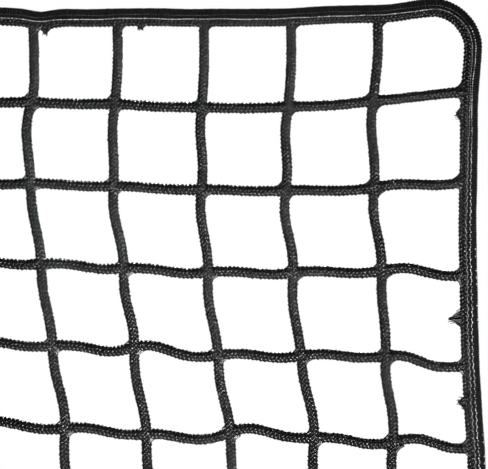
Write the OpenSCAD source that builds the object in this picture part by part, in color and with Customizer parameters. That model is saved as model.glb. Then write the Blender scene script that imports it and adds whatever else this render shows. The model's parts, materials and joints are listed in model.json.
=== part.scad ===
// Cargo climbing net: a square mesh of thick knitted cord inside a sewn webbing border.
// The net hangs in the XZ plane with its front facing -Y, and the origin is the middle of
// its top edge. It folds along three of its row cords, which act as hinge pins, so its
// cords and border are divided into four panels, 1 at the top to 4 at the bottom.
// All lengths are millimetres.

/* [Mesh] */
// Number of mesh openings side by side
columns = 8; // [6:1:10]
// Width of one mesh, from cord axis to cord axis
mesh_w = 100; // [80:1:130]
// Height of one mesh, from cord axis to cord axis
mesh_h = 95; // [76:1:125]
// Diameter of the knitted cord
cord_d = 11; // [8:0.5:14]
// Sideways lean of the middle uprights at the second fold row
sway = 32; // [0:1:40]

/* [Border] */
// Bend radius of the edge cord's axis at the net's corners
corner_r = 36; // [24:1:44]
// Width of the folded webbing, from its sewn edges to its fold
binding_w = 12.5; // [10:0.5:16]
// Thickness of the webbing
webbing_t = 1.4; // [1:0.1:2]
// Distance from the edge cord's axis out to the webbing's sewn edges
binding_inset = 2; // [1:0.5:3]
// Outer radius of the webbing's fold
fold_r = 2.6; // [2.2:0.1:3.5]

/* [Seams] */
// Diameter of the sewing thread
thread_d = 0.8; // [0.5:0.1:1.2]
// Distance from the webbing's sewn edge to the inner seam
seam_inset = 2.4; // [1.5:0.1:4]
// Distance between the two seams
seam_pitch = 4.4; // [3:0.1:5]

/* [Trimmed ends] */
// Diameter of the cut-off cord ends that poke out of the border
stub_d = 7; // [5:0.5:8]
// How far a cut-off end stands out of the edge cord
stub_length = 9; // [5:0.5:14]

/* [Folding] */
// How far the net folds each way at a fold row, in degrees
fold_angle = 80; // [45:1:80]
// Gap between a fold row's cord and the uprights that hang from it
hinge_gap = 0.3; // [0.2:0.1:0.6]

/* [Hidden] */

$fn = 48;
cord_colour = [0.09, 0.09, 0.09];
row_colour = [0.14, 0.14, 0.15];
webbing_colour = [0.05, 0.05, 0.05];
thread_colour = [0.72, 0.72, 0.70];
stub_colour = [0.20, 0.20, 0.20];

// Rows of the net where each panel ends: the top edge, three fold rows and the bottom edge
panel_rows = [0, 2, 5, 8, 11];
panels = len(panel_rows) - 1;
rows = panel_rows[panels];
// Share of the sway that the uprights have at each of those rows
lean_share = [0, 0, 1, 0.6, 0];

cord_r = cord_d / 2;
thread_r = thread_d / 2;
half_w = columns * mesh_w / 2;
edge_z = -(binding_inset + binding_w);
// Clearance between pieces of one panel that rest on each other
seat = 0.05;
// Clearance between the edge cord and the inside of the webbing
pocket_gap = 0.35;

// The webbing's section: u runs outward from the edge cord's axis, and the half
// thickness falls from the sewn edges to the fold
fold_u = binding_inset + binding_w - fold_r;
fold_steps = 5;
pocket_half = cord_r + pocket_gap - webbing_t * 0.25;
sewn_half = pocket_half + webbing_t;
taper = (sewn_half - fold_r) / (fold_u - binding_inset);
seam_us = [binding_inset + seam_inset, binding_inset + seam_inset + seam_pitch];

// Half of the opening that the border needs at a fold row, so that its square ends
// stay clear of each other by 8 degrees when the net is folded
fold_spare = 8;
fold_opening = (sewn_half + 2 * thread_d) / tan((180 - fold_angle - fold_spare) / 2);

// Where trimmed ends stand: meshes in from the right end of the top edge, and meshes
// down from the top of the right edge in panels 1 and 2
top_stub_meshes = [3.7, 4.8];
right_stub_meshes = [[1.13], [3.6, 4.62]];

function row_z(r) = edge_z - r * mesh_h;
function fold_z(k) = row_z(panel_rows[k]);

// Sideways place of an upright where panel k ends (k = 0 is the top edge)
function upright_x(c, k) =
    (c - columns / 2) * mesh_w + lean_share[k] * sway * sin(180 * c / columns);

// Slope of an upright in panel k, as sideways run for each millimetre of height
function upright_slope(c, k) =
    (upright_x(c, k - 1) - upright_x(c, k)) / (fold_z(k - 1) - fold_z(k));

// Sideways place of an upright of panel k at height z
function upright_x_at(c, k, z) = upright_x(c, k) + upright_slope(c, k) * (z - fold_z(k));

// Half width of an upright cut level, with the clearance that a row cord keeps from it
function upright_half(c, k) = (cord_r + seat) * sqrt(1 + pow(upright_slope(c, k), 2));

// Heights at which the cords of panel k end: its uprights rest against the edge or
// fold cord below them and hang free of the fold cord above them
function cord_top(k) = fold_z(k - 1) - cord_r - (k == 1 ? seat : hinge_gap);
function cord_bottom(k) = fold_z(k) + cord_r + seat;

// Heights at which the straight side border of panel k starts and ends
function side_top(k) = k == 1 ? edge_z - corner_r - seat : fold_z(k - 1) - fold_opening;
function side_bottom(k) = k == panels ? row_z(rows) + corner_r + seat : fold_z(k) + fold_opening;

// The same for the edge cord, which is thinner than the border around it
function edge_cord_start(k) = k == 1 ? side_top(k) : cord_top(k);
function edge_cord_end(k) = k == panels ? side_bottom(k) : cord_bottom(k);

// Points around the webbing's fold at radius r, front to back when turn is 1
function fold_arc(r, turn) =
    [for (i = [-fold_steps : fold_steps]) let (a = -turn * i * 90 / fold_steps) [fold_u + r * cos(a), r * sin(a)]];

// Half thickness of the folded webbing's outside at distance u
function webbing_half(u) = sewn_half - taper * (u - binding_inset);

module upright(c, k) {
    slope = upright_slope(c, k);
    height = cord_top(k) - cord_bottom(k);
    intersection() {
        translate([upright_x(c, k), 0, fold_z(k)])
            rotate([0, atan(slope), 0])
                translate([0, 0, -cord_d])
                    cylinder(r = cord_r, h = (fold_z(k - 1) - fold_z(k)) * sqrt(1 + slope * slope) + 2 * cord_d);
        translate([-half_w * 2, -cord_d, cord_bottom(k)])
            cube([half_w * 4, cord_d * 2, height]);
    }
}

module uprights(k) {
    color(cord_colour)
        for (c = [1 : columns - 1])
            upright(c, k);
}

// One length of a row cord, with its ends cut to lie along the uprights beside it
module row_length(c, r, k) {
    low = row_z(r) - cord_d;
    high = row_z(r) + cord_d;
    left = c;
    right = c + 1;
    intersection() {
        translate([-half_w, 0, row_z(r)])
            rotate([0, 90, 0])
                cylinder(r = cord_r, h = 2 * half_w);
        rotate([90, 0, 0])
            linear_extrude(height = 2 * cord_d, center = true)
                polygon([
                    [upright_x_at(left, k, low) + upright_half(left, k), low],
                    [upright_x_at(right, k, low) - upright_half(right, k), low],
                    [upright_x_at(right, k, high) - upright_half(right, k), high],
                    [upright_x_at(left, k, high) + upright_half(left, k), high]
                ]);
    }
}

module row_cord(r, k) {
    color(row_colour)
        for (c = [0 : columns - 1])
            row_length(c, r, k);
}

// The cord along a fold row is one piece, because the panel below turns about it
module fold_cord(k) {
    color(row_colour)
        translate([-half_w - cord_r, 0, fold_z(k)])
            rotate([0, 90, 0])
                cylinder(r = cord_r, h = 2 * (half_w + cord_r));
}

// Moves a section drawn with u along x and the net's thickness along y onto the
// straight part of the top edge
module along_top() {
    straight = 2 * (half_w - corner_r);
    translate([straight / 2, 0, edge_z])
        rotate([0, -90, 0])
            linear_extrude(height = straight)
                children();
}

// Bends the same section around the top right corner
module around_corner() {
    translate([half_w - corner_r, 0, edge_z - corner_r])
        rotate([90, 0, 0])
            rotate_extrude(angle = 90)
                translate([corner_r, 0])
                    children();
}

// The right half of the straight part of the top edge, clear of the pieces beside it
module along_top_half() {
    start = seat / 2;
    end = half_w - corner_r - seat;
    translate([end, 0, edge_z])
        rotate([0, -90, 0])
            linear_extrude(height = end - start)
                children();
}

// The whole run along the top edge, with a quarter turn at each end
module top_run() {
    along_top() children();
    around_corner() children();
    mirror([1, 0, 0])
        around_corner() children();
}

// Turns a run along the top edge into one along the bottom edge
module at_bottom() {
    translate([0, 0, row_z(rows) + edge_z])
        mirror([0, 0, 1])
            children();
}

// Keeps a piece on the right, or puts it on the left when side is -1
module on_side(side) {
    mirror([side < 0 ? 1 : 0, 0, 0])
        children();
}

// A straight run of a section down one side
module side_run(side, high, low) {
    on_side(side)
        translate([half_w, 0, low])
            linear_extrude(height = high - low)
                children();
}

module cord_section() {
    circle(r = cord_r);
}

// Webbing folded in half around the edge cord
module webbing_section() {
    polygon(concat(
        [[binding_inset, sewn_half]], fold_arc(fold_r, 1), [[binding_inset, -sewn_half]],
        [[binding_inset, -pocket_half]], fold_arc(fold_r - webbing_t, -1), [[binding_inset, pocket_half]]
    ));
}

// Two lines of thread on each face of the webbing
module seam_section() {
    rise = (thread_r + seat) * sqrt(1 + taper * taper);
    for (u = seam_us, face = [-1, 1])
        translate([u, face * (webbing_half(u) + rise)])
            circle(r = thread_r);
}

module edge_cord_top() {
    color(cord_colour)
        top_run() cord_section();
}

module edge_cord_bottom() {
    color(cord_colour)
        at_bottom()
            top_run() cord_section();
}

module edge_cord_side(side, k) {
    color(cord_colour)
        side_run(side, edge_cord_start(k), edge_cord_end(k)) cord_section();
}

// The webbing is divided at the corners and at the middle of the top and bottom
module binding_top(side) {
    color(webbing_colour)
        on_side(side)
            along_top_half() webbing_section();
}

module binding_bottom(side) {
    color(webbing_colour)
        at_bottom()
            on_side(side)
                along_top_half() webbing_section();
}

module binding_corner_top(side) {
    color(webbing_colour)
        on_side(side)
            around_corner() webbing_section();
}

module binding_corner_bottom(side) {
    color(webbing_colour)
        at_bottom()
            on_side(side)
                around_corner() webbing_section();
}

module binding_side(side, k) {
    color(webbing_colour)
        side_run(side, side_top(k), side_bottom(k)) webbing_section();
}

module seam_top() {
    color(thread_colour)
        top_run() seam_section();
}

module seam_bottom() {
    color(thread_colour)
        at_bottom()
            top_run() seam_section();
}

module seam_side(side, k) {
    color(thread_colour)
        side_run(side, side_top(k), side_bottom(k)) seam_section();
}

// A cut-off cord end against the inner side of the edge cord, pointing along z
module stub() {
    translate([0, 0, cord_r + seat])
        cylinder(d = stub_d, h = stub_length);
}

module trimmed_ends_top() {
    color(stub_colour)
        for (m = top_stub_meshes)
            translate([half_w - m * mesh_w, 0, edge_z])
                rotate([180, 0, 0])
                    stub();
}

module trimmed_ends_right(k) {
    color(stub_colour)
        for (m = right_stub_meshes[k - 1])
            translate([half_w, 0, edge_z - m * mesh_h])
                rotate([0, -90, 0])
                    stub();
}

edge_cord_top();
edge_cord_bottom();
binding_top(-1);  // binding_top_left
binding_top(1);  // binding_top_right
binding_bottom(-1);  // binding_bottom_left
binding_bottom(1);  // binding_bottom_right
binding_corner_top(-1);  // binding_corner_top_left
binding_corner_top(1);  // binding_corner_top_right
binding_corner_bottom(-1);  // binding_corner_bottom_left
binding_corner_bottom(1);  // binding_corner_bottom_right
seam_top();
seam_bottom();
row_cord(1, 1);  // row_cord_1
fold_cord(1);  // row_cord_2
row_cord(3, 2);  // row_cord_3
row_cord(4, 2);  // row_cord_4
fold_cord(2);  // row_cord_5
row_cord(6, 3);  // row_cord_6
row_cord(7, 3);  // row_cord_7
fold_cord(3);  // row_cord_8
row_cord(9, 4);  // row_cord_9
row_cord(10, 4);  // row_cord_10
uprights(1);  // uprights_1
uprights(2);  // uprights_2
uprights(3);  // uprights_3
uprights(4);  // uprights_4
edge_cord_side(-1, 1);  // edge_cord_left_1
edge_cord_side(-1, 2);  // edge_cord_left_2
edge_cord_side(-1, 3);  // edge_cord_left_3
edge_cord_side(-1, 4);  // edge_cord_left_4
edge_cord_side(1, 1);  // edge_cord_right_1
edge_cord_side(1, 2);  // edge_cord_right_2
edge_cord_side(1, 3);  // edge_cord_right_3
edge_cord_side(1, 4);  // edge_cord_right_4
binding_side(-1, 1);  // binding_left_1
binding_side(-1, 2);  // binding_left_2
binding_side(-1, 3);  // binding_left_3
binding_side(-1, 4);  // binding_left_4
binding_side(1, 1);  // binding_right_1
binding_side(1, 2);  // binding_right_2
binding_side(1, 3);  // binding_right_3
binding_side(1, 4);  // binding_right_4
seam_side(-1, 1);  // seam_left_1
seam_side(-1, 2);  // seam_left_2
seam_side(-1, 3);  // seam_left_3
seam_side(-1, 4);  // seam_left_4
seam_side(1, 1);  // seam_right_1
seam_side(1, 2);  // seam_right_2
seam_side(1, 3);  // seam_right_3
seam_side(1, 4);  // seam_right_4
trimmed_ends_top();
trimmed_ends_right(1);  // trimmed_ends_right_1
trimmed_ends_right(2);  // trimmed_ends_right_2
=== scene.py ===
import json
import math

import bpy
import numpy as np
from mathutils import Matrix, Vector

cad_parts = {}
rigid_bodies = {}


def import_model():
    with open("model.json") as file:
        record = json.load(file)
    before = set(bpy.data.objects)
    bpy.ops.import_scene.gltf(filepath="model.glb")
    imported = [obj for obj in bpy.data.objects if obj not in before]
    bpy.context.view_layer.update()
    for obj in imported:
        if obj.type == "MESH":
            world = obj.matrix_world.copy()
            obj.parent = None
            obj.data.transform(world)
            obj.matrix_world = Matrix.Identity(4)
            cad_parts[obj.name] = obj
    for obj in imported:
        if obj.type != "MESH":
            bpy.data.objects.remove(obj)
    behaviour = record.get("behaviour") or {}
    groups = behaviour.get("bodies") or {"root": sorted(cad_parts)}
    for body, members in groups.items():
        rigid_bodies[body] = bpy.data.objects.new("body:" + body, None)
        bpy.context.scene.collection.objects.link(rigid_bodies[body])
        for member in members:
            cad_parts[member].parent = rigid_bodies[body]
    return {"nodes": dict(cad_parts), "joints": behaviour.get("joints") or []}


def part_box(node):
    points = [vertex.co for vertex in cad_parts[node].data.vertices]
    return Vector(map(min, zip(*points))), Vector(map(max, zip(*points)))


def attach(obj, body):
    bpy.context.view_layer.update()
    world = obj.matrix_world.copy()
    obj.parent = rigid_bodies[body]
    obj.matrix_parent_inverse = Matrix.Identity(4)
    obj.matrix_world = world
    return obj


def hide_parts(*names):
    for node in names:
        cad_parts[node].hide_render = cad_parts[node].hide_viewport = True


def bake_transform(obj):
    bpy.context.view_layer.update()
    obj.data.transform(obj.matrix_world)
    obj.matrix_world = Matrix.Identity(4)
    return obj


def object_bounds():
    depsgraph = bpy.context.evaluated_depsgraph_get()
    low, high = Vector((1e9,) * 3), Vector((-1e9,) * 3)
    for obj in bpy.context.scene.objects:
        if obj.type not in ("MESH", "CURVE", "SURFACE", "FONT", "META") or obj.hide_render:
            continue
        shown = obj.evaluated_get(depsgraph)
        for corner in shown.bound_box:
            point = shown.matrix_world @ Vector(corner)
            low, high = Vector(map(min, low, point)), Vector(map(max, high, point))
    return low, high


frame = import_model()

CAD_BOX = [list(corner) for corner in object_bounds()]
MM = 1000.0
rng = np.random.default_rng(11)

# ---------------------------------------------------------------- places from the frame


def box_mm(node):
    low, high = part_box(node)
    return np.array(low) * MM, np.array(high) * MM


def middle(node):
    low, high = box_mm(node)
    return (low + high) / 2


JOINTS = frame["joints"]
PANELS = [JOINTS[0]["parent"]] + [joint["child"] for joint in JOINTS]
FOLD_Z = [joint["pos_m"][2] * MM for joint in JOINTS]
CORD_R = (box_mm("row_cord_1")[1][1] - box_mm("row_cord_1")[0][1]) / 2
HALF_W = middle("edge_cord_right_1")[0]
TOP_Z = box_mm("edge_cord_top")[1][2] - CORD_R
BOTTOM_Z = box_mm("edge_cord_bottom")[0][2] + CORD_R
CORNER_R = TOP_Z - box_mm("edge_cord_top")[0][2]
ROW_Z = [TOP_Z] + [middle(f"row_cord_{r}")[2] for r in range(1, 11)] + [BOTTOM_Z]
ROWS = len(ROW_Z) - 1
FOLD_ROWS = [int(np.argmin([abs(z - fold) for z in ROW_Z])) for fold in FOLD_Z]
PITCH_Z = (TOP_Z - BOTTOM_Z) / ROWS
SIDE_LOW, SIDE_HIGH = box_mm("binding_right_1")
SEWN_U = SIDE_LOW[0] - HALF_W
TAPE_BULK = 0.9
OUTER_U = SIDE_HIGH[0] - HALF_W + TAPE_BULK
SEWN_HALF = SIDE_HIGH[1]
# A fold's pieces reach half a mesh either way
FOLD_REACH = PITCH_Z / 2


def upright_places():
    """Sideways places of the drawn uprights at the top edge, each fold and the bottom edge."""
    heights = [TOP_Z] + FOLD_Z + [BOTTOM_Z]
    places = []
    for k, (high, low) in enumerate(zip(heights, heights[1:]), 1):
        co = np.array([v.co for v in frame["nodes"][f"uprights_{k}"].data.vertices]) * MM
        ends = []
        for z in (co[:, 2].max(), co[:, 2].min()):
            xs = np.sort(co[np.abs(co[:, 2] - z) < 0.05, 0])
            groups = np.split(xs, np.flatnonzero(np.diff(xs) > 2 * CORD_R) + 1)
            ends.append((z, np.array([(g[0] + g[-1]) / 2 for g in groups])))
        (z_a, x_a), (z_b, x_b) = ends
        slope = (x_a - x_b) / (z_a - z_b)
        if k == 1:
            places.append(x_a + slope * (high - z_a))
        places.append(x_b + slope * (low - z_b))
    return np.array(heights), np.array(places)


UPRIGHT_Z, UPRIGHT_X = upright_places()
COLUMNS = UPRIGHT_X.shape[1] + 1


def drawn_x(c, z):
    return np.interp(-z, -UPRIGHT_Z, UPRIGHT_X[:, c - 1])


# ---------------------------------------------------------------- how the soft net lies


def hump(t, centre, width):
    return np.exp(-(((t - centre) / width) ** 2))


def ramp(t, start, end):
    t = np.clip((t - start) / (end - start), 0, 1)
    return t * t * (3 - 2 * t)


def depth(x, z):
    """The net isn't quite flat: its cords stand a little in front or behind."""
    return 1.1 * np.sin(x / 71 + 0.6) * np.cos(z / 87) + 0.5 * np.sin(z / 43 + x / 190)


def border_shift(x, z):
    """How far the border lies from its drawn path, sideways and up."""
    right = 9.7 * hump(z, -560, 120) + 5 * hump(z, -45, 40) - 1.5 * hump(z, -250, 60)
    right += 1.3 - 4 * hump(z, -820, 110)
    left = 4 * np.sin(z / 95 + 1)
    top = 7.5 * hump(x, 362, 42) - 4 * hump(x, -85, 18) + 3 * hump(x, -160, 35)
    top += 1.8 * np.tanh((x - 150) / 90) - 2.4 * hump(x, 165, 55) + 0.5 * np.sin(x / 19)
    bottom = 4 * np.sin(x / 90)
    dx = ramp(x, 250, HALF_W) * right + ramp(-x, 250, HALF_W) * left
    dz = ramp(z, TOP_Z - 90, TOP_Z) * top + ramp(-z, -BOTTOM_Z - 90, -BOTTOM_Z) * bottom
    return dx, dz


# Where a cord strays by itself: meshes from the right, row, shift right and up in mm, reach across and down
STRAYS = [
    (1, 3.2, 4.5, 0, 0.6, 0.8),
    (1, 5, 0, -6, 0.8, 0.5),
    (2.5, 5, 0, 5, 0.5, 0.4),
    (6.2, 5, 0, 8, 0.6, 0.6),
    (1, 1, -2.5, 0, 0.6, 0.5),
    (5, 0.85, 2.5, 0, 0.4, 0.25),
    (4, 5, -2.5, 0, 1.2, 0.6),
    (2.5, 1, 0, -1.5, 1.2, 0.5),
    (1.2, 2, 0, -2.5, 0.9, 0.4),
    (5, 1.4, -4, 0, 0.4, 0.5),
    (3, 1.6, 3, 0, 0.4, 0.5),
    (3, 4.6, -4, 0, 0.4, 0.5),
    (2, 3.6, -4, 0, 0.4, 0.5),
    (0.4, 1, 0, 2, 0.5, 0.4),
    (0.4, 2, 0, 2.5, 0.4, 0.4),
    (0.4, 3, 0, 4, 0.4, 0.4),
    (0.5, 4, 0, -4, 0.35, 0.4),
    (0.5, 5, 0, 4, 0.4, 0.4),
    (5.7, 3, 0, 4.5, 0.5, 0.4),
    (5.7, 4, 0, 4, 0.5, 0.4),
    (5.8, 5, 0, 3, 0.5, 0.4),
    (3.85, 4, 0, 6, 0.3, 0.4),
    (2.85, 5, 0, 6, 0.3, 0.4),
    (4, 4.5, -3, 0, 0.4, 0.5),
    (3, 3.5, -3, 0, 0.4, 0.5),
    (2, 2.3, -2.5, 0, 0.4, 0.4),
    (1, 4.5, 2.3, 0, 0.4, 0.4),
    (0.25, 4, 0, 2.5, 0.25, 0.4),
    (3.6, 5, 0, -3, 0.3, 0.4),
]


def stray(s, r):
    dx, dz = 0 * s * r, 0 * s * r
    for s0, r0, right, up, wide, tall in STRAYS:
        near = hump(s, s0, wide) * hump(r, r0, tall)
        dx, dz = dx + right * near, dz + up * near
    return dx, dz


def strayed(c, r):
    """The junction with the strays added, for pieces that sit on it."""
    dx, dz = stray(COLUMNS - c, r)
    return junction(c, r) + np.array([dx, dz])


def junction(c, r):
    """Where upright c meets row r, in mm; c is 0 and r is 0 on the left and top border."""
    z, s = ROW_Z[r], COLUMNS - c
    pull = -2.5 + 15 * math.cos(math.pi * (r - 0.7) / 3.6)
    dz = -5 * hump(s, 2.5, 1.1) * (1 - math.exp(-2 * r)) + 7 * hump(s, 5.3, 1) * (1 - hump(r, 0, 2.5))
    dz += pull * math.exp(-1.4 * s) + 6 * math.sin(1.3 * r + 1) * math.exp(-1.4 * c)
    if c in (0, COLUMNS):
        x = HALF_W if c else -HALF_W
        dx, _ = border_shift(x, z + dz)
        return np.array([x + dx, z + dz])
    dx = 1.5 - 4 * math.sin(math.pi * r / 4.4) + 4.5 * hump(r, 5.6, 1)
    dx += 5.5 * hump(s, 5.6, 1.1) * (1 + math.sin(math.pi * r / ROWS))
    x = drawn_x(c, z) + dx
    if r in (0, ROWS):
        dz = border_shift(x, z)[1]
    return np.array([x, z + dz])


def curve_through(points, bow, count=28):
    """A smooth curve through points of the net, with each leg's own bow(leg, t) added."""
    points = np.array(points)
    slopes = np.gradient(points, axis=0)
    t = np.linspace(0, 1, count, endpoint=False)[:, None]
    legs = []
    for i in range(len(points) - 1):
        a, b, da, db = points[i], points[i + 1], slopes[i], slopes[i + 1]
        leg = (2 * t**3 - 3 * t**2 + 1) * a + (t**3 - 2 * t**2 + t) * da
        leg += (3 * t**2 - 2 * t**3) * b + (t**3 - t**2) * db
        legs.append(leg + bow(i, t))
    legs.append(points[-1:] + bow(len(points) - 2, np.array([[1.0]])))
    flat = np.concatenate(legs)
    return np.stack([flat[:, 0], depth(flat[:, 0], flat[:, 1]), flat[:, 1]], axis=1)


def resample(path, step, closed=False):
    if closed:
        path = np.concatenate([path, path[:1]])
    s = np.concatenate([[0], np.cumsum(np.linalg.norm(np.diff(path, axis=0), axis=1))])
    count = max(8, int(round(s[-1] / step)))
    at = np.linspace(0, s[-1], count + 1)
    out = np.stack([np.interp(at, s, path[:, i]) for i in range(3)], axis=1)
    return (out[:-1], at[:-1], s[-1]) if closed else (out, at, s[-1])


def gradient(values, closed):
    if closed:
        return (np.roll(values, -1, axis=-2) - np.roll(values, 1, axis=-2)) / 2
    return np.gradient(values, axis=-2)


def unit(v):
    return v / np.maximum(np.linalg.norm(v, axis=-1, keepdims=True), 1e-9)


def frames(path, closed=False):
    """Along the path, out of it within the net's plane, and out of the net's front."""
    along = unit(gradient(path, closed))
    front = np.broadcast_to(np.array([0.0, -1.0, 0.0]), path.shape)
    across = unit(np.cross(front, along))
    return along, across, unit(np.cross(along, across))


# ---------------------------------------------------------------- meshes


def side_faces(n, m):
    """The quads between n rings of m points each."""
    i, j = np.meshgrid(np.arange(n - 1), np.arange(m), indexing="ij")
    k = (j + 1) % m
    return np.stack([i * m + j, (i + 1) * m + j, (i + 1) * m + k, i * m + k], -1).reshape(-1, 4)


class Tubes:
    """Collects closed tubes, each a run of rings, into one mesh."""

    def __init__(self):
        self.verts, self.quads, self.tris, self.count = [], [], [], 0

    def add(self, rings):
        runs, n, m, _ = rings.shape
        first = [[0, a, a + 1] for a in range(1, m - 1)]
        last = [[(n - 1) * m, (n - 1) * m + a + 1, (n - 1) * m + a] for a in range(1, m - 1)]
        starts = self.count + np.arange(runs)[:, None, None] * n * m
        self.quads.append((side_faces(n, m)[None] + starts).reshape(-1, 4))
        self.tris.append((np.array(first + last)[None] + starts).reshape(-1, 3))
        self.verts.append(rings.reshape(-1, 3))
        self.count += runs * n * m

    def piece(self, name, material, slot):
        verts, quads, tris = (np.concatenate(part) for part in (self.verts, self.quads, self.tris))
        return make_piece(name, verts, quads, tris, material)


def make_piece(name, verts, quads, tris, material):
    mesh = bpy.data.meshes.new(name)
    mesh.vertices.add(len(verts))
    mesh.vertices.foreach_set("co", (verts / MM).astype(np.float32).ravel())
    mesh.loops.add(quads.size + tris.size)
    corners = np.concatenate([quads.ravel(), tris.ravel()])
    mesh.loops.foreach_set("vertex_index", corners.astype(np.int32))
    mesh.polygons.add(len(quads) + len(tris))
    starts = np.concatenate([np.arange(len(quads)) * 4, quads.size + np.arange(len(tris)) * 3])
    mesh.polygons.foreach_set("loop_start", starts.astype(np.int32))
    mesh.update(calc_edges=True)
    mesh.validate()
    # The end caps (the triangles) stay flat, so the shading runs on where a cord or tape is divided
    mesh.polygons.foreach_set("use_smooth", np.arange(len(mesh.polygons)) < len(quads))
    mesh.materials.append(material)
    piece = bpy.data.objects.new(name, mesh)
    bpy.context.scene.collection.objects.link(piece)
    return piece


# The braid, in mm: a strand's lead, the radius it lies at and how far it weaves in and out,
# its half width and half thickness, and the core inside
LEAD = 28.0
EACH_WAY = 6
BRAID_R = 3.85
WEAVE = 1.1
STRAND_W, STRAND_T = 1.24, 1.12
SIDES, CORE_SIDES = 5, 8
CORE_R = 1.9
TURN = 2 * np.pi


def ring_of(centre, wide, tall, half_w, half_t, sides=SIDES):
    """Rings of an oval section round each centre point."""
    turn = TURN * np.arange(sides) / sides + np.pi / 2
    half_w, half_t = np.asarray(half_w)[..., None, None], np.asarray(half_t)[..., None, None]
    oval = np.cos(turn)[:, None] * half_w * wide[..., None, :]
    oval = oval + np.sin(turn)[:, None] * half_t * tall[..., None, :]
    return centre[..., None, :] + oval


def uneven(beat, slow, fast):
    """A slow and a fast wave, each starting anywhere."""
    return slow * np.sin(beat + rng.uniform(0, 6.3)) + fast * np.sin(3 * beat + rng.uniform(0, 6.3))


def braid(path, s, lead, swell, plain, closed=False):
    """Twelve strands round a path; returns their rings and the core's."""
    along, across, front = frames(path, closed)
    strands = []
    for way in (1, -1):
        for i in range(EACH_WAY):
            angle = way * TURN * s / lead + TURN * i / EACH_WAY
            if plain:
                phase = EACH_WAY * TURN * s / lead
            else:
                phase = np.pi / 2 * (way * 2 * EACH_WAY * s / lead + 2 * i - 0.5)
            # Knitted yarn never lies quite evenly; on a closed loop the unevenness repeats with the lead
            beat = TURN * s / (lead if closed else lead * rng.uniform(0.6, 1.4))
            slack = uneven(beat, 0.22, 0.12)
            angle = angle + uneven(beat, 0.1, 0.06)
            r = (BRAID_R + way * WEAVE * np.cos(phase) + slack) * swell
            out = np.cos(angle)[:, None] * across + np.sin(angle)[:, None] * front
            centre = path + r[:, None] * out
            wide = unit(np.cross(unit(gradient(centre, closed)), out))
            fat = rng.uniform(0.88, 1.08) + 0.08 * np.sin(2 * beat + rng.uniform(0, 6.3))
            strands.append(ring_of(centre, wide, out, STRAND_W * fat * swell, STRAND_T * swell))
    core = ring_of(path, -across, front, CORE_R * swell, CORE_R * swell, CORE_SIDES)
    return np.stack(strands), core[None]


FILLET_W, FILLET_T = 1.7, 1.5


def fillet(tubes, corner, to_row, to_upright, size, strands=3):
    """Strands that round off the corner between a row and an upright, in two layers."""
    t = np.linspace(0, 1, 9)[:, None]
    for i in range(2 * strands):
        layer, place = divmod(i, strands)
        reach = size * (1 - 0.62 * layer) * (1 - 0.12 * place) * rng.uniform(0.88, 1.08)
        y = (place - (strands - 1) / 2) * 2.0 + rng.uniform(-0.5, 0.5)
        a = corner + np.array([to_row * reach, y, -to_upright * 2.2])
        b = corner + np.array([to_row * 0.6, y, to_upright * 0.6])
        c = corner + np.array([-to_row * 2.2, y, to_upright * reach])
        centre = (1 - t) ** 2 * a + 2 * t * (1 - t) * b + t**2 * c
        along, across, front = frames(centre)
        tubes.add(ring_of(centre, -across, front, np.full(len(t), FILLET_W), np.full(len(t), FILLET_T))[None])


# ---------------------------------------------------------------- materials


def material(name, dark, light, noise_scale, roughness, sheen, bump_scale, bump_mm, specular=0.5):
    mat = bpy.data.materials.new(name)
    mat.use_nodes = True
    nodes, links = mat.node_tree.nodes, mat.node_tree.links
    shader = nodes["Principled BSDF"]
    place = nodes.new("ShaderNodeTexCoord")
    tint = nodes.new("ShaderNodeTexNoise")
    tint.inputs["Scale"].default_value = noise_scale
    tint.inputs["Detail"].default_value = 4
    ramp_node = nodes.new("ShaderNodeValToRGB")
    ramp_node.color_ramp.elements[0].position, ramp_node.color_ramp.elements[1].position = 0.34, 0.68
    ramp_node.color_ramp.elements[0].color = (*dark, 1)
    ramp_node.color_ramp.elements[1].color = (*light, 1)
    fibre = nodes.new("ShaderNodeTexNoise")
    fibre.inputs["Scale"].default_value = bump_scale
    fibre.inputs["Detail"].default_value = 3
    bump = nodes.new("ShaderNodeBump")
    bump.inputs["Distance"].default_value = bump_mm / MM
    bump.inputs["Strength"].default_value = 0.8
    rough = nodes.new("ShaderNodeMapRange")
    rough.inputs["To Min"].default_value = roughness - 0.1
    rough.inputs["To Max"].default_value = roughness + 0.08
    links.new(place.outputs["Object"], tint.inputs["Vector"])
    links.new(place.outputs["Object"], fibre.inputs["Vector"])
    links.new(tint.outputs["Fac"], ramp_node.inputs["Fac"])
    links.new(ramp_node.outputs["Color"], shader.inputs["Base Color"])
    links.new(fibre.outputs["Fac"], bump.inputs["Height"])
    links.new(bump.outputs["Normal"], shader.inputs["Normal"])
    links.new(fibre.outputs["Fac"], rough.inputs["Value"])
    links.new(rough.outputs["Result"], shader.inputs["Roughness"])
    shader.inputs["Sheen Weight"].default_value = sheen
    shader.inputs["Sheen Roughness"].default_value = 0.4
    shader.inputs["Specular IOR Level"].default_value = specular
    return mat


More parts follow.
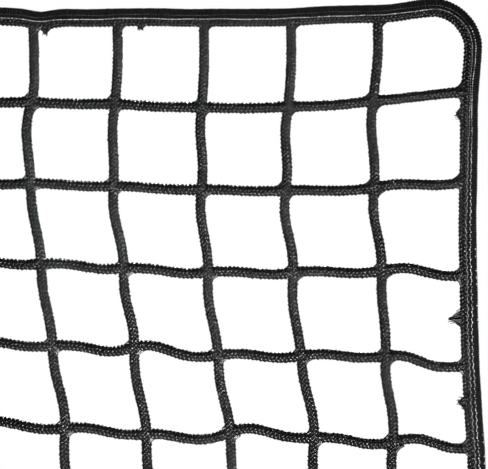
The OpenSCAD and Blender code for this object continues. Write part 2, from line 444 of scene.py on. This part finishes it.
BLACK = (0.0006, 0.0006, 0.0006)
YARN_LOOK = dict(
    dark=BLACK,
    light=(0.006, 0.006, 0.0062),
    roughness=0.29,
    sheen=0.0,
    bump_scale=2300,
    bump_mm=0.06,
    specular=0.4,
)
THREAD_LOOK = dict(bump_scale=3000, bump_mm=0.15)
YARN = material("black_yarn", noise_scale=420, **YARN_LOOK)
EDGE_YARN = material("edge_yarn", noise_scale=380, **YARN_LOOK)
TAPE = material(
    "ribbed_tape",
    dark=(0.001, 0.001, 0.001),
    light=(0.006, 0.006, 0.0065),
    noise_scale=700,
    roughness=0.36,
    sheen=0.0,
    bump_scale=1500,
    bump_mm=0.08,
    specular=0.32,
)
THREAD = material("grey_thread", (0.06,) * 3, (0.45, 0.45, 0.44), 300, 0.55, 0.1, **THREAD_LOOK)
DARK_THREAD = material("dark_thread", (0.02,) * 3, (0.2,) * 3, 260, 0.55, 0.1, **THREAD_LOOK)
BLACK_THREAD = material("black_thread", (0.004,) * 3, (0.02,) * 3, 260, 0.5, 0.05, **THREAD_LOOK)
FRAY = material(
    "cut_ends",
    dark=BLACK,
    light=(0.003, 0.003, 0.003),
    noise_scale=500,
    roughness=0.36,
    sheen=0.0,
    bump_scale=2600,
    bump_mm=0.1,
    specular=0.15,
)

# ---------------------------------------------------------------- riding


def ride_panel(piece, k):
    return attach(piece, PANELS[k])


def bend_at(piece):
    """Bakes the transform of a piece that lies across a fold into its mesh, leaving it on no panel."""
    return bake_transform(piece)


def panel_of(r):
    return sum(r > fold for fold in FOLD_ROWS)


# ---------------------------------------------------------------- uprights

# How thick the cords are against the plain braid, and how far apart their rings lie, in mm
UPRIGHT_SWELL, ROW_SWELL = 1.08, 1.1
UPRIGHT_STEP = 1.18
ROW_STEP = 1.6
panel_tubes = [Tubes() for _ in PANELS]
fold_tubes = [Tubes() for _ in JOINTS]


def upright_cord(c):
    share = rng.uniform(0.7, 1.25, ROWS)

    def bow(leg, t):
        if leg == 0:
            dx = 2.0 * np.sin(np.pi * t)
        else:
            dx = -share[leg] * (1.5 * np.sin(2 * np.pi * t) + 1.2 * np.sin(np.pi * t))
        right, up = stray(COLUMNS - c + 0 * t, leg + t)
        return np.concatenate([dx + right, up], axis=1)

    path, s, total = resample(curve_through([junction(c, r) for r in range(ROWS + 1)], bow), UPRIGHT_STEP)
    swell = UPRIGHT_SWELL - 0.14 * hump(s, 0, 5) - 0.14 * hump(s, total, 5)
    for r in range(1, ROWS):
        at = s[np.argmin(np.abs(path[:, 2] - strayed(c, r)[1]))]
        swell += 0.06 * hump(s, at, 7)
    strands, core = braid(path, s, LEAD, swell, plain=True)
    marks = [0]
    for fold in FOLD_Z:
        marks += [int(np.argmin(np.abs(path[:, 2] - fold - reach))) for reach in (FOLD_REACH, -FOLD_REACH)]
    marks.append(len(path) - 1)
    for i, (a, b) in enumerate(zip(marks, marks[1:])):
        tubes = fold_tubes[i // 2] if i % 2 else panel_tubes[i // 2]
        tubes.add(strands[:, a : b + 1])
        tubes.add(core[:, a : b + 1])


for c in range(1, COLUMNS):
    upright_cord(c)
    x, z = strayed(c, 0)
    fillet(panel_tubes[0], np.array([x + CORD_R, depth(x, z), z - CORD_R]), 1, -1, 5.5)
    x, z = strayed(c, ROWS)
    fillet(panel_tubes[3], np.array([x - CORD_R, depth(x, z), z + CORD_R]), -1, 1, 5.0)
for k, tubes in enumerate(panel_tubes):
    piece = tubes.piece(f"upright_braid_{k + 1}", YARN, "cord")
    ride_panel(piece, k)
    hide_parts(f"uprights_{k + 1}")
for k, tubes in enumerate(fold_tubes):
    bend_at(tubes.piece(f"upright_braid_fold_{k + 1}", YARN, "cord"))

# ---------------------------------------------------------------- rows


def row_cord(r):
    tubes = Tubes()
    share = rng.uniform(0.3, 1.2, COLUMNS)

    def bow(leg, t):
        s = COLUMNS - leg - 0.5
        wave = 2.2 * ramp(r, 1, 4) + (1.8 * hump(s, 0.5, 0.6) if r > 1 else 0)
        dz = -1.2 * share[leg] * np.sin(np.pi * t) + wave * np.sin(2 * np.pi * t)
        right, up = stray(COLUMNS - leg - t, r + 0 * t)
        return np.concatenate([right, dz + up], axis=1)

    places = [junction(c, r) for c in range(COLUMNS + 1)]
    path, s, total = resample(curve_through(places, bow), ROW_STEP)
    swell = np.full_like(s, ROW_SWELL)
    places = [strayed(c, r) for c in range(COLUMNS + 1)]
    for c in range(COLUMNS + 1):
        d = s - s[np.argmin(np.abs(path[:, 0] - places[c][0]))]
        swell += 0.1 * hump(np.abs(d), 8.5, 3.5) - 0.2 * hump(d, 0, 4.5)
    strands, core = braid(path, s, LEAD, swell, plain=False)
    tubes.add(strands)
    tubes.add(core)
    for c in range(1, COLUMNS):
        x, z = places[c]
        y = depth(x, z)
        fillet(tubes, np.array([x + CORD_R - 1, y, z - CORD_R]), 1, -1, rng.uniform(5.5, 8.5))
        if rng.uniform() < 0.75:
            fillet(tubes, np.array([x - CORD_R, y, z + CORD_R]), -1, 1, rng.uniform(3.5, 5.5), 2)
    for c, way in ((0, 1), (COLUMNS, -1)):
        x, z = places[c]
        for up in (1, -1):
            corner = np.array([x + way * CORD_R, depth(x, z), z + up * CORD_R])
            fillet(tubes, corner, way, up, rng.uniform(4, 6.5))
    piece = tubes.piece(f"row_braid_{r}", YARN, "cord")
    if r in FOLD_ROWS:
        bend_at(piece)
    else:
        ride_panel(piece, panel_of(r))
    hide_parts(f"row_cord_{r}")


for r in range(1, ROWS):
    row_cord(r)

# ---------------------------------------------------------------- the border's path


def border_loop(step):
    """The edge cord's axis, clockwise from the left side's middle, with its shifts."""
    straight, side = HALF_W - CORNER_R, TOP_Z - CORNER_R
    low, start = BOTTOM_Z + CORNER_R, FOLD_Z[1]
    points = [np.stack([np.full(200, -HALF_W), np.linspace(start, side, 200, endpoint=False)], 1)]
    for x, z, turn, ends in (
        (-straight, side, 180, ((-straight, TOP_Z), (straight, TOP_Z))),
        (straight, side, 90, ((HALF_W, side), (HALF_W, low))),
        (straight, low, 0, ((straight, BOTTOM_Z), (-straight, BOTTOM_Z))),
        (-straight, low, -90, ((-HALF_W, low), (-HALF_W, start))),
    ):
        a = np.radians(np.linspace(turn, turn - 90, 40, endpoint=False))
        points.append(np.stack([x + CORNER_R * np.cos(a), z + CORNER_R * np.sin(a)], 1))
        points.append(np.linspace(ends[0], ends[1], 400, endpoint=False))
    flat = np.concatenate(points)
    dx, dz = border_shift(flat[:, 0], flat[:, 1])
    flat = flat + np.stack([dx, dz], 1)
    path = np.stack([flat[:, 0], depth(flat[:, 0], flat[:, 1]), flat[:, 1]], 1)
    return resample(path, step, closed=True)


def border_runs(path):
    """The loop's stretches: name, the panel or fold it belongs to, and its sample numbers."""

    def at(side, z):
        return int(np.argmin(np.abs(path[:, 2] - z) + 1e4 * (path[:, 0] * side < 0.7 * HALF_W)))

    n = len(path)
    ends = {}
    for side in (-1, 1):
        for k, fold in enumerate(FOLD_Z):
            ends[side, k] = at(side, fold + FOLD_REACH), at(side, fold - FOLD_REACH)
    across = np.abs(path[:, 0]) < HALF_W - CORNER_R
    high = np.flatnonzero(across & (path[:, 2] > TOP_Z - CORNER_R))
    low = np.flatnonzero(across & (path[:, 2] < BOTTOM_Z + CORNER_R))
    runs = [
        ("top", False, 0, high[0], high[-1]),
        ("top_left", False, 0, ends[-1, 0][0], high[0]),
        ("top_right", False, 0, high[-1], ends[1, 0][0]),
        ("bottom", False, 3, low[0], low[-1]),
        ("bottom_right", False, 3, ends[1, 2][1], low[0]),
        ("bottom_left", False, 3, low[-1], ends[-1, 2][1]),
    ]
    for k in (0, 1, 2):
        runs.append((f"right_fold_{k + 1}", True, k, ends[1, k][0], ends[1, k][1]))
        runs.append((f"left_fold_{k + 1}", True, k, ends[-1, k][1], ends[-1, k][0]))
    for k in (1, 2):
        runs.append((f"right_{k + 1}", False, k, ends[1, k - 1][1], ends[1, k][0]))
        runs.append((f"left_{k + 1}", False, k, ends[-1, k][0], ends[-1, k - 1][1]))
    return [(name, fold, k, np.arange(a, b + 1 if b > a else b + n + 1) % n) for name, fold, k, a, b in runs]


def stands_for(part, name):
    """The CAD nodes of a part that one stretch of the border replaces."""
    if "fold" in name:
        return []
    level, _, side = name.partition("_")
    if name in ("top", "bottom"):
        return [f"binding_{name}_left", f"binding_{name}_right"] if part == "binding" else [f"{part}_{name}"]
    if level in ("top", "bottom"):
        straight = f"{part}_{side}_{1 if level == 'top' else len(PANELS)}"
        return [straight, f"binding_corner_{name}"] if part == "binding" else [straight]
    return [f"{part}_{name}"]


def place_run(piece, part, name, fold, k):
    if fold:
        bend_at(piece)
    else:
        ride_panel(piece, k)
    if part:
        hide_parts(*stands_for(part, name))


def whole(total, pitch):
    """The pitch nearest to the one asked for that divides the loop exactly."""
    return total / round(total / pitch)


loop, loop_s, loop_len = border_loop(ROW_STEP)
edge_lead, edge_swell = whole(loop_len, LEAD), np.ones_like(loop_s)
edge_strands, edge_core = braid(loop, loop_s, edge_lead, edge_swell, plain=False, closed=True)
for name, fold, k, idx in border_runs(loop):
    tubes = Tubes()
    tubes.add(edge_strands[:, idx])
    tubes.add(edge_core[:, idx])
    place_run(tubes.piece(f"edge_braid_{name}", EDGE_YARN, "cord"), "edge_cord", name, fold, k)

# ---------------------------------------------------------------- webbing and seams

# In mm: u runs out of the net from the edge cord's axis, h out of its front
TAPE_STEP = 0.62
TAPE_T = 1.4
FOLD_R = 2.6
FOLD_U = OUTER_U - FOLD_R
RIB, RIB_HIGH = 2.85, 0.7
RIDGE, RIDGE_HIGH = 2.9, 0.22
STITCH = 4.0
THREAD_R = 0.46
INNER_U, OUTER_SEAM_U = SEWN_U + 0.8, SEWN_U + 5.6

tape, tape_s, tape_len = border_loop(TAPE_STEP)
_, tape_across, tape_front = frames(tape, closed=True)


def outer_half(u):
    """How far the tape's outer face stands from the net's middle plane."""
    return SEWN_HALF - (SEWN_HALF - FOLD_R) * (u - SEWN_U) / (FOLD_U - SEWN_U)


def tape_profile():
    """The folded tape's section as (u, h, relief): out of the net, out of its front, rib share."""
    us = np.linspace(SEWN_U, FOLD_U, 15)
    arc = np.linspace(np.pi / 2, -np.pi / 2, 8)[1:-1]
    outer = [(u, outer_half(u), 0.4 if u == SEWN_U else 1) for u in us]
    outer += [(FOLD_U + FOLD_R * math.cos(a), FOLD_R * math.sin(a), 0.8) for a in arc]
    outer += [(u, -outer_half(u), 0.4 if u == SEWN_U else 1) for u in us[::-1]]
    inner_r = FOLD_R - TAPE_T
    inner = [(u, -outer_half(u) + TAPE_T, 0) for u in (SEWN_U, (SEWN_U + FOLD_U) / 2, FOLD_U)]
    inner += [(FOLD_U + inner_r, 0, 0)]
    inner += [(u, outer_half(u) - TAPE_T, 0) for u in (FOLD_U, (SEWN_U + FOLD_U) / 2, SEWN_U)]
    return np.array(outer + inner), len(outer)


profile, OUTER_POINTS = tape_profile()
outline = unit(np.roll(profile[:, :2], -1, 0) - np.roll(profile[:, :2], 1, 0))
profile_out = np.stack([-outline[:, 1], outline[:, 0]], 1)
rib = whole(tape_len, RIB)
u_grid, h_grid, share = profile[:, 0], profile[:, 1], profile[:, 2]
phase = TURN * (tape_s[:, None] / rib + 0.045 * u_grid)
relief = RIB_HIGH * share * (np.abs(np.sin(phase / 2)) ** 0.7 * 2 - 1)
ridge = RIDGE_HIGH * share * np.cos(TURN * (u_grid - SEWN_U) / RIDGE)
turns = TURN * tape_s[:, None] / tape_len
slack = share * (0.18 * np.sin(61 * turns) + 0.14 * np.sin(307 * turns + 0.5 * u_grid) * np.sin(89 * turns))
offset = relief + ridge + slack
tape_rings = (
    tape[:, None]
    + (u_grid + offset * profile_out[:, 0])[..., None] * tape_across[:, None]
    + (h_grid + offset * profile_out[:, 1])[..., None] * tape_front[:, None]
)


def zip_ends():
    """Triangles that close the tape's cut end, from its outer points to its inner ones."""
    outer, inner = list(range(OUTER_POINTS)), list(range(len(profile) - 1, OUTER_POINTS - 1, -1))
    a, b, tris = 0, 0, []
    while a < len(outer) - 1 or b < len(inner) - 1:
        if b == len(inner) - 1 or (a < len(outer) - 1 and a / (len(outer) - 1) <= b / (len(inner) - 1)):
            tris.append([outer[a], outer[a + 1], inner[b]])
            a += 1
        else:
            tris.append([outer[a], inner[b + 1], inner[b]])
            b += 1
    return np.array(tris)


class Strip(Tubes):
    """A swept section whose cut ends are closed across the tape's thickness."""

    def add_section(self, rings):
        n, m, _ = rings.shape
        self.quads.append(side_faces(n, m) + self.count)
        cap = zip_ends()
        self.tris.append(np.concatenate([cap, cap[:, ::-1] + (n - 1) * m]) + self.count)
        self.verts.append(rings.reshape(-1, 3))
        self.count += n * m


def stitch_line(u, face, r, zigzag):
    """One seam: a thread that lies on the tape between its holes and dips into each."""
    pitch = whole(tape_len, STITCH)
    beat = np.abs(np.sin(np.pi * tape_s / pitch))
    around = TURN * tape_s / tape_len
    wander = 0.32 * np.sin(37 * around + u) + 0.2 * np.sin(90 * around)
    right = (tape[:, 0] > 0.9 * HALF_W) * ramp(-tape[:, 2], 60, 240)
    near_corner = (tape[:, 0] > 0.9 * HALF_W) * 2.2 * hump(tape[:, 2], -110, 70) * (u < SEWN_U + 2)
    at = u + wander + near_corner + zigzag * right * np.sin(np.pi * tape_s / pitch)
    high = outer_half(at) + 0.28 + 0.5 * (beat**0.6 - 0.75)
    centre = tape + at[:, None] * tape_across + (face * high)[:, None] * tape_front
    thick = r * (0.62 + 0.45 * beat**0.5)
    return ring_of(centre, -tape_across, tape_front, thick, thick * 0.9)


# Stretches of the right border whose thread ends show, how far apart they are, and each one's thickness
DOTTED = ((-362, -276), (-700, -488))
DOT_PITCH = 8.0
DOT_SHAPE = np.array([0.7, 1.3, 1.5, 1.3, 0.7])


def edge_dots(tubes, idx):
    """Ends of thread that show as dots near the fold, on both faces."""
    every = int(round(DOT_PITCH / TAPE_STEP))
    for start in range(every, len(idx) - every, every):
        at = idx[start : start + len(DOT_SHAPE)]
        z = tape[at[0], 2]
        if rng.uniform() < 0.2 or not any(low < z < high for low, high in DOTTED):
            continue
        u = OUTER_U - 1.5 + rng.uniform(-0.3, 0.3)
        for face in (1, -1):
            centre = tape[at] + u * tape_across[at] + face * 2.6 * tape_front[at]
            thick = THREAD_R * DOT_SHAPE
            tubes.add(ring_of(centre, -tape_across[at], tape_front[at], thick, thick)[None])


# The outer seam's thread is black as far as the middle of the top right corner
LIGHT_THREAD_Z = -24.0
inner_seam = [stitch_line(INNER_U, face, THREAD_R, 0.7) for face in (1, -1)]
outer_seam = [stitch_line(OUTER_SEAM_U, face, THREAD_R * 1.1, 0.6) for face in (1, -1)]
for name, fold, k, idx in border_runs(tape):
    strip = Strip()
    strip.add_section(tape_rings[idx])
    place_run(strip.piece(f"webbing_{name}", TAPE, "webbing"), "binding", name, fold, k)
    for label, seam, mat in (("inner", inner_seam, THREAD), ("outer", outer_seam, DARK_THREAD)):
        tubes = Tubes()
        if label == "outer" and name == "top_right":
            black = tape[idx, 2] > LIGHT_THREAD_Z
            corner = Tubes()
            for rings in seam:
                corner.add(rings[idx[black]][None])
            place_run(corner.piece("stitches_outer_corner", BLACK_THREAD, "thread"), None, name, fold, k)
            idx = idx[~black]
        for rings in seam:
            tubes.add(rings[idx][None])
        if label == "outer" and "right" in name:
            edge_dots(tubes, idx)
        if "right" in name:
            mat = DARK_THREAD if label == "inner" else THREAD
        elif label == "outer":
            mat = BLACK_THREAD
        piece = tubes.piece(f"stitches_{label}_{name}", mat, "thread")
        place_run(piece, "seam" if label == "inner" else None, name, fold, k)

# ---------------------------------------------------------------- trimmed ends


THICK_STRANDS, LOOSE_FIBRES = 36, 10


def tuft(tubes, base, out, spread, reach):
    """A cut cord end: a lump of thick strands that lean together to a point, and a few loose fibres."""
    along = np.array([-out[2], 0, out[0]])
    tip = rng.uniform(-0.25, 0.25) * spread
    for i in range(THICK_STRANDS + LOOSE_FIBRES):
        loose = i >= THICK_STRANDS
        side = rng.uniform(-1, 1)
        y = rng.uniform(-3, 3)
        peak = max(0.0, 1 - abs(side)) ** 0.8
        start = base + along * side * spread + np.array([0, y, 0]) - out * 3
        end = base + along * (tip + (side * spread - tip) * 0.45) + np.array([0, y * 0.6, 0])
        end = end + out * (1.2 + (reach - 1.2) * peak * rng.uniform(0.65, 1))
        if loose:
            end = end + out * rng.uniform(1, 3) + along * rng.uniform(-4, 4)
        t = np.linspace(0, 1, 9)[:, None]
        centre = start + (end - start) * t + t * (1 - t) * along * rng.normal(0, 2.5)
        direction = unit(np.gradient(centre, axis=0))
        wide = unit(np.cross(direction, np.array([0.0, 1.0, 0.0])))
        thick = (0.6 if loose else rng.uniform(0.9, 1.6)) * (1 - 0.5 * t[:, 0] ** 4)
        tubes.add(ring_of(centre, wide, -unit(np.cross(direction, wide)), thick, thick)[None])


def cut_ends(node, out, axis, k, sizes):
    """A tuft at each solid of a CAD node, on the border's inner side; axis is the one they lie along."""
    co = np.array([v.co for v in frame["nodes"][node].data.vertices]) * MM
    order = co[np.argsort(co[:, axis])]
    groups = np.split(order, np.flatnonzero(np.diff(order[:, axis]) > 2 * CORD_R) + 1)
    tubes = Tubes()
    for group, (spread, reach) in zip(groups, sizes):
        centre = (group.min(0) + group.max(0)) / 2
        dx, dz = border_shift(centre[0], centre[2])
        base = centre + np.array([dx, 0, dz])
        if axis == 2:
            base[0] = HALF_W + border_shift(HALF_W, centre[2])[0] - CORD_R
        else:
            base[2] = TOP_Z + border_shift(centre[0], TOP_Z)[1] - CORD_R
        tuft(tubes, base, np.array(out, float), spread, reach)
    piece = tubes.piece(node + "_fray", FRAY, "cut_ends")
    ride_panel(piece, k)
    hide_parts(node)


# Groups run from low to high x or z; each has its half width and how far it stands out
cut_ends("trimmed_ends_top", (0, 0, -1), 0, 0, [(6.5, 5.5), (4, 4)])
cut_ends("trimmed_ends_right_1", (-1, 0, 0), 2, 0, [(9, 4.5)])
cut_ends("trimmed_ends_right_2", (-1, 0, 0), 2, 1, [(9, 7), (13, 15)])

# ---------------------------------------------------------------- floor, light and camera

FLOOR_Z, FLOOR_SIZE = CAD_BOX[0][2] - 0.03, 5.0
bpy.ops.mesh.primitive_plane_add(size=FLOOR_SIZE, location=(0, 0, FLOOR_Z))
floor = bpy.context.object
floor.name = "floor"
floor_paint = bpy.data.materials.new("pale_floor")
floor_paint.use_nodes = True
floor_nodes, floor_links = floor_paint.node_tree.nodes, floor_paint.node_tree.links
floor_nodes["Principled BSDF"].inputs["Base Color"].default_value = (0.3, 0.3, 0.3, 1)
floor_nodes["Principled BSDF"].inputs["Roughness"].default_value = 0.9
# The camera sees the floor evenly pale, with only a little of the lamps' pools and the net's shadow
glow = floor_nodes.new("ShaderNodeEmission")
glow.inputs["Color"].default_value = (0.9, 0.9, 0.9, 1)
floor_ray = floor_nodes.new("ShaderNodeLightPath")
even = floor_nodes.new("ShaderNodeMath")
even.operation = "MULTIPLY"
even.inputs[1].default_value = 0.85
floor_mix = floor_nodes.new("ShaderNodeMixShader")
floor_links.new(floor_ray.outputs["Is Camera Ray"], even.inputs[0])
floor_links.new(even.outputs[0], floor_mix.inputs["Fac"])
floor_links.new(floor_nodes["Principled BSDF"].outputs[0], floor_mix.inputs[1])
floor_links.new(glow.outputs[0], floor_mix.inputs[2])
floor_links.new(floor_mix.outputs[0], floor_nodes["Material Output"].inputs["Surface"])
floor.data.materials.append(floor_paint)

scene = bpy.context.scene
scene.view_settings.view_transform = "Standard"
world = bpy.data.worlds.new("studio")
world.use_nodes = True
scene.world = world
sky_nodes, sky_links = world.node_tree.nodes, world.node_tree.links
back_light = sky_nodes["Background"]
back_light.inputs["Color"].default_value = (1, 1, 1, 1)
back_light.inputs["Strength"].default_value = 0.004
seen = sky_nodes.new("ShaderNodeBackground")
seen.inputs["Color"].default_value = (1, 1, 1, 1)
pick = sky_nodes.new("ShaderNodeMixShader")
ray = sky_nodes.new("ShaderNodeLightPath")
sky_links.new(ray.outputs["Is Camera Ray"], pick.inputs["Fac"])
sky_links.new(back_light.outputs[0], pick.inputs[1])
sky_links.new(seen.outputs[0], pick.inputs[2])
sky_links.new(pick.outputs[0], sky_nodes["World Output"].inputs["Surface"])


LAMP_SPREAD = 70


def area_light(name, place, target, size, energy):
    data = bpy.data.lights.new(name, "AREA")
    data.size, data.energy = size, energy
    data.spread = math.radians(LAMP_SPREAD)
    lamp = bpy.data.objects.new(name, data)
    scene.collection.objects.link(lamp)
    lamp.location = place
    lamp.rotation_euler = (Vector(target) - Vector(place)).to_track_quat("-Z", "Y").to_euler()
    lamp.visible_camera = False


area_light("key_low", (0.3, -1.5, -0.98), (0.1, 0, -0.35), 0.12, 16)
area_light("fill_high", (-0.5, -1.4, 0.9), (0, 0, -0.5), 0.2, 0.6)
area_light("back_fill", (0.4, 1.7, 0.5), (0, 0, -0.5), 0.3, 6)
area_light("side_fill", (1.7, 0.7, 0.1), (0, 0, -0.5), 0.3, 1.5)

VIEW_WIDTH = 0.5607
LENS, SENSOR = 135.0, 36.0
camera = bpy.data.objects.new("camera", bpy.data.cameras.new("camera"))
camera.data.lens, camera.data.sensor_width = LENS, SENSOR
camera.location = (0.148, -VIEW_WIDTH * LENS / SENSOR, -0.2604)
camera.rotation_euler = (math.pi / 2, 0, 0)
scene.collection.objects.link(camera)
scene.camera = camera

bpy.context.view_layer.update()
